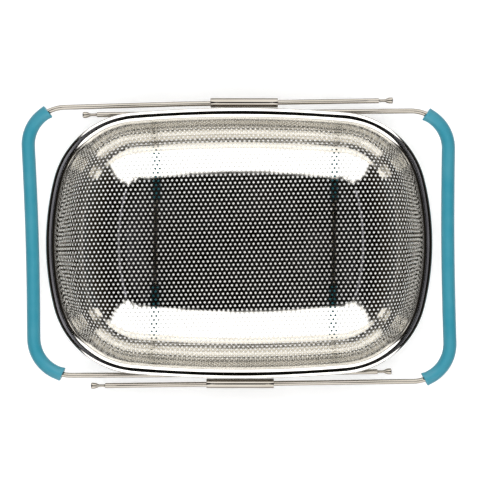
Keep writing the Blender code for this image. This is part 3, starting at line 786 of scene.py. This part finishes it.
def make_floor():
    """A white table. Part of what the eye and the metal see of it is its own white, and the rest is the
    light on it, with the object's shadow."""
    bpy.ops.mesh.primitive_circle_add(vertices=TABLE_SIDES, radius=TABLE_RADIUS, fill_type="NGON")
    floor = bpy.context.object
    floor.name = "studio_floor"
    material, nodes, links, shader = node_material("studio_white")
    shader.inputs["Base Color"].default_value = (FLOOR_LIT, FLOOR_LIT, FLOOR_LIT, 1)
    shader.inputs["Roughness"].default_value = TABLE_ROUGHNESS
    shader.inputs["Specular IOR Level"].default_value = 0.0
    path = nodes.new("ShaderNodeLightPath")
    seen = maths(nodes, links, "MAXIMUM", path.outputs["Is Camera Ray"], path.outputs["Is Glossy Ray"])
    seen = maths(nodes, links, "MAXIMUM", seen, path.outputs["Is Transmission Ray"])
    glow = add_node(nodes, "ShaderNodeEmission")
    links.new(maths(nodes, links, "MULTIPLY", seen, FLOOR_OWN), glow.inputs["Strength"])
    total = nodes.new("ShaderNodeAddShader")
    links.new(shader.outputs[0], total.inputs[0])
    links.new(glow.outputs[0], total.inputs[1])
    links.new(total.outputs[0], nodes["Material Output"].inputs["Surface"])
    floor.data.materials.append(material)


def make_world():
    """A studio by direction: two long soft boxes, in front and behind, a black ceiling between them with
    a grey strip to the left and right of the camera, and dim walls beyond the ends that grow paler towards
    the table. The camera sees plain white."""
    world = bpy.data.worlds.new("studio")
    bpy.context.scene.world = world
    world.use_nodes = True
    nodes, links = world.node_tree.nodes, world.node_tree.links
    nodes.clear()

    def calc(operation, first, second=None):
        return maths(nodes, links, operation, first, second)

    def times(first, second):
        return calc("MULTIPLY", first, second)

    def minus(first, second):
        return calc("SUBTRACT", first, second)

    def step(value, edge):
        node = add_node(nodes, "ShaderNodeMapRange", interpolation_type="SMOOTHSTEP")
        node.inputs["From Min"].default_value, node.inputs["From Max"].default_value = edge
        links.new(value, node.inputs["Value"])
        return node.outputs[0]

    def blend(share, without, with_it):
        """Each end is a colour or a socket."""
        node = add_node(nodes, "ShaderNodeMix", data_type="RGBA")
        links.new(share, node.inputs["Factor"])
        for name, value in (("A", without), ("B", with_it)):
            if isinstance(value, tuple):
                node.inputs[name].default_value = (*value, 1)
            else:
                links.new(value, node.inputs[name])
        return node.outputs["Result"]

    coordinates = nodes.new("ShaderNodeTexCoord")
    split = nodes.new("ShaderNodeSeparateXYZ")
    links.new(coordinates.outputs["Generated"], split.inputs[0])
    x, y, z = split.outputs
    across, along = calc("ABSOLUTE", x), calc("ABSOLUTE", y)
    off_centre = calc("ABSOLUTE", minus(x, DENT_X))

    is_back = calc("GREATER_THAN", y, 0)
    off_dent = calc("DIVIDE", minus(x, DENT_X), DENT_WIDTH)
    dent = calc("POWER", math.e, times(times(off_dent, off_dent), -1))
    front = calc("ADD", FRONT_BOX_FROM, times(dent, FRONT_BOX_DENT))
    back = calc("ADD", BACK_BOX_FROM, times(dent, BACK_BOX_DENT))
    ceiling = calc("ADD", times(back, is_back), times(front, minus(1, is_back)))
    beyond = minus(along, times(calc("MAXIMUM", z, 0), ceiling))
    beyond = minus(beyond, times(calc("MAXIMUM", minus(across, BOX_SLANT_FROM), 0), BOX_SLANT))
    cut = calc("MINIMUM", times(calc("MAXIMUM", minus(off_centre, CUT_FROM), 0), CUT_SLOPE), CUT_MOST)
    cut = times(times(cut, step(z, CUT_HEIGHT)), minus(1, step(off_centre, CUT_ENDS)))
    beyond = minus(beyond, cut)
    beside = minus(along, times(across, minus(BOX_SPREAD, times(z, BOX_SPREAD_UP))))
    box = times(times(step(beyond, BOX_EDGE), step(beside, BOX_SIDE)), step(z, HORIZON))

    walls = nodes.new("ShaderNodeValToRGB")
    while len(walls.color_ramp.elements) < len(WALL_TONES):
        walls.color_ramp.elements.new(0.5)
    for element, (position, colour) in zip(walls.color_ramp.elements, WALL_TONES):
        element.position = position
        element.color = (*colour, 1)
    links.new(z, walls.inputs["Fac"])
    strip = times(step(off_centre, STRIP_INNER), minus(1, step(off_centre, STRIP_OUTER)))
    strip = times(strip, minus(1, step(along, STRIP_END)))
    strip = times(strip, calc("GREATER_THAN", z, STRIP_LOWEST))
    tone = blend(step(along, STRIP_BRIGHTENS), STRIP_MIDDLE, STRIP_TIP)
    dim = blend(strip, walls.outputs["Color"], tone)
    lit = blend(box, dim, (BOX_LEVEL, BOX_LEVEL, BOX_LEVEL))
    path = nodes.new("ShaderNodeLightPath")
    background = nodes.new("ShaderNodeBackground")
    links.new(blend(path.outputs["Is Camera Ray"], lit, (1, 1, 1)), background.inputs["Color"])
    matt = times(path.outputs["Is Diffuse Ray"], 1 - WORLD_ON_MATT)
    links.new(minus(1, matt), background.inputs["Strength"])
    output = nodes.new("ShaderNodeOutputWorld")
    links.new(background.outputs[0], output.inputs["Surface"])


def make_lamp():
    """A square lamp over the middle, which lights matt things only, so the steel keeps its dark ceiling."""
    data = bpy.data.lights.new("overhead_lamp", "AREA")
    data.size = LAMP_SIDE
    data.energy = LAMP_POWER
    lamp = bpy.data.objects.new("overhead_lamp", data)
    lamp.location = (0, 0, LAMP_HEIGHT)
    lamp.visible_glossy = False
    lamp.visible_camera = False
    bpy.context.scene.collection.objects.link(lamp)


def make_camera():
    data = bpy.data.cameras.new("overhead")
    camera = bpy.data.objects.new("overhead", data)
    bpy.context.scene.collection.objects.link(camera)
    camera.location = (CAMERA_X, 0, RIM_TOP + CAMERA_HEIGHT)
    width = PHOTO_SIDE * METRES_PER_PIXEL
    data.sensor_width = SENSOR_WIDTH
    data.lens = SENSOR_WIDTH * CAMERA_HEIGHT / width
    middle_x = (PHOTO_SIDE / 2 - RIM_MIDDLE_PX[0]) * METRES_PER_PIXEL
    middle_y = -(PHOTO_SIDE / 2 - RIM_MIDDLE_PX[1]) * METRES_PER_PIXEL
    data.shift_x = (middle_x - CAMERA_X) / width
    data.shift_y = middle_y / width
    data.clip_start = CAMERA_NEAREST
    bpy.context.scene.camera = camera


def main():
    # The rods, tubes and foot wires share one steel with painted shade and reflection in its colour
    shaded_rod_steel = steel("shaded_rod_steel", *SHADED_ROD_STEEL)
    teal = silicone("teal_silicone", *GRIP_TEAL)
    make_bowl(steel("bowl_steel", *BOWL_STEEL))
    make_rim(steel("rim_steel", *RIM_STEEL))
    make_tubes(shaded_rod_steel)
    for side, sizes in HANDLES.items():
        make_handle(side, sizes, shaded_rod_steel, teal)
    # The foot sleeves take the grips' teal with painted shade from under the bowl
    make_feet(shaded_rod_steel, silicone("shaded_boot_silicone", *SHADED_BOOT_TEAL))
    make_floor()
    make_world()
    make_lamp()
    make_camera()
    bpy.context.scene.view_settings.view_transform = "Standard"


main()
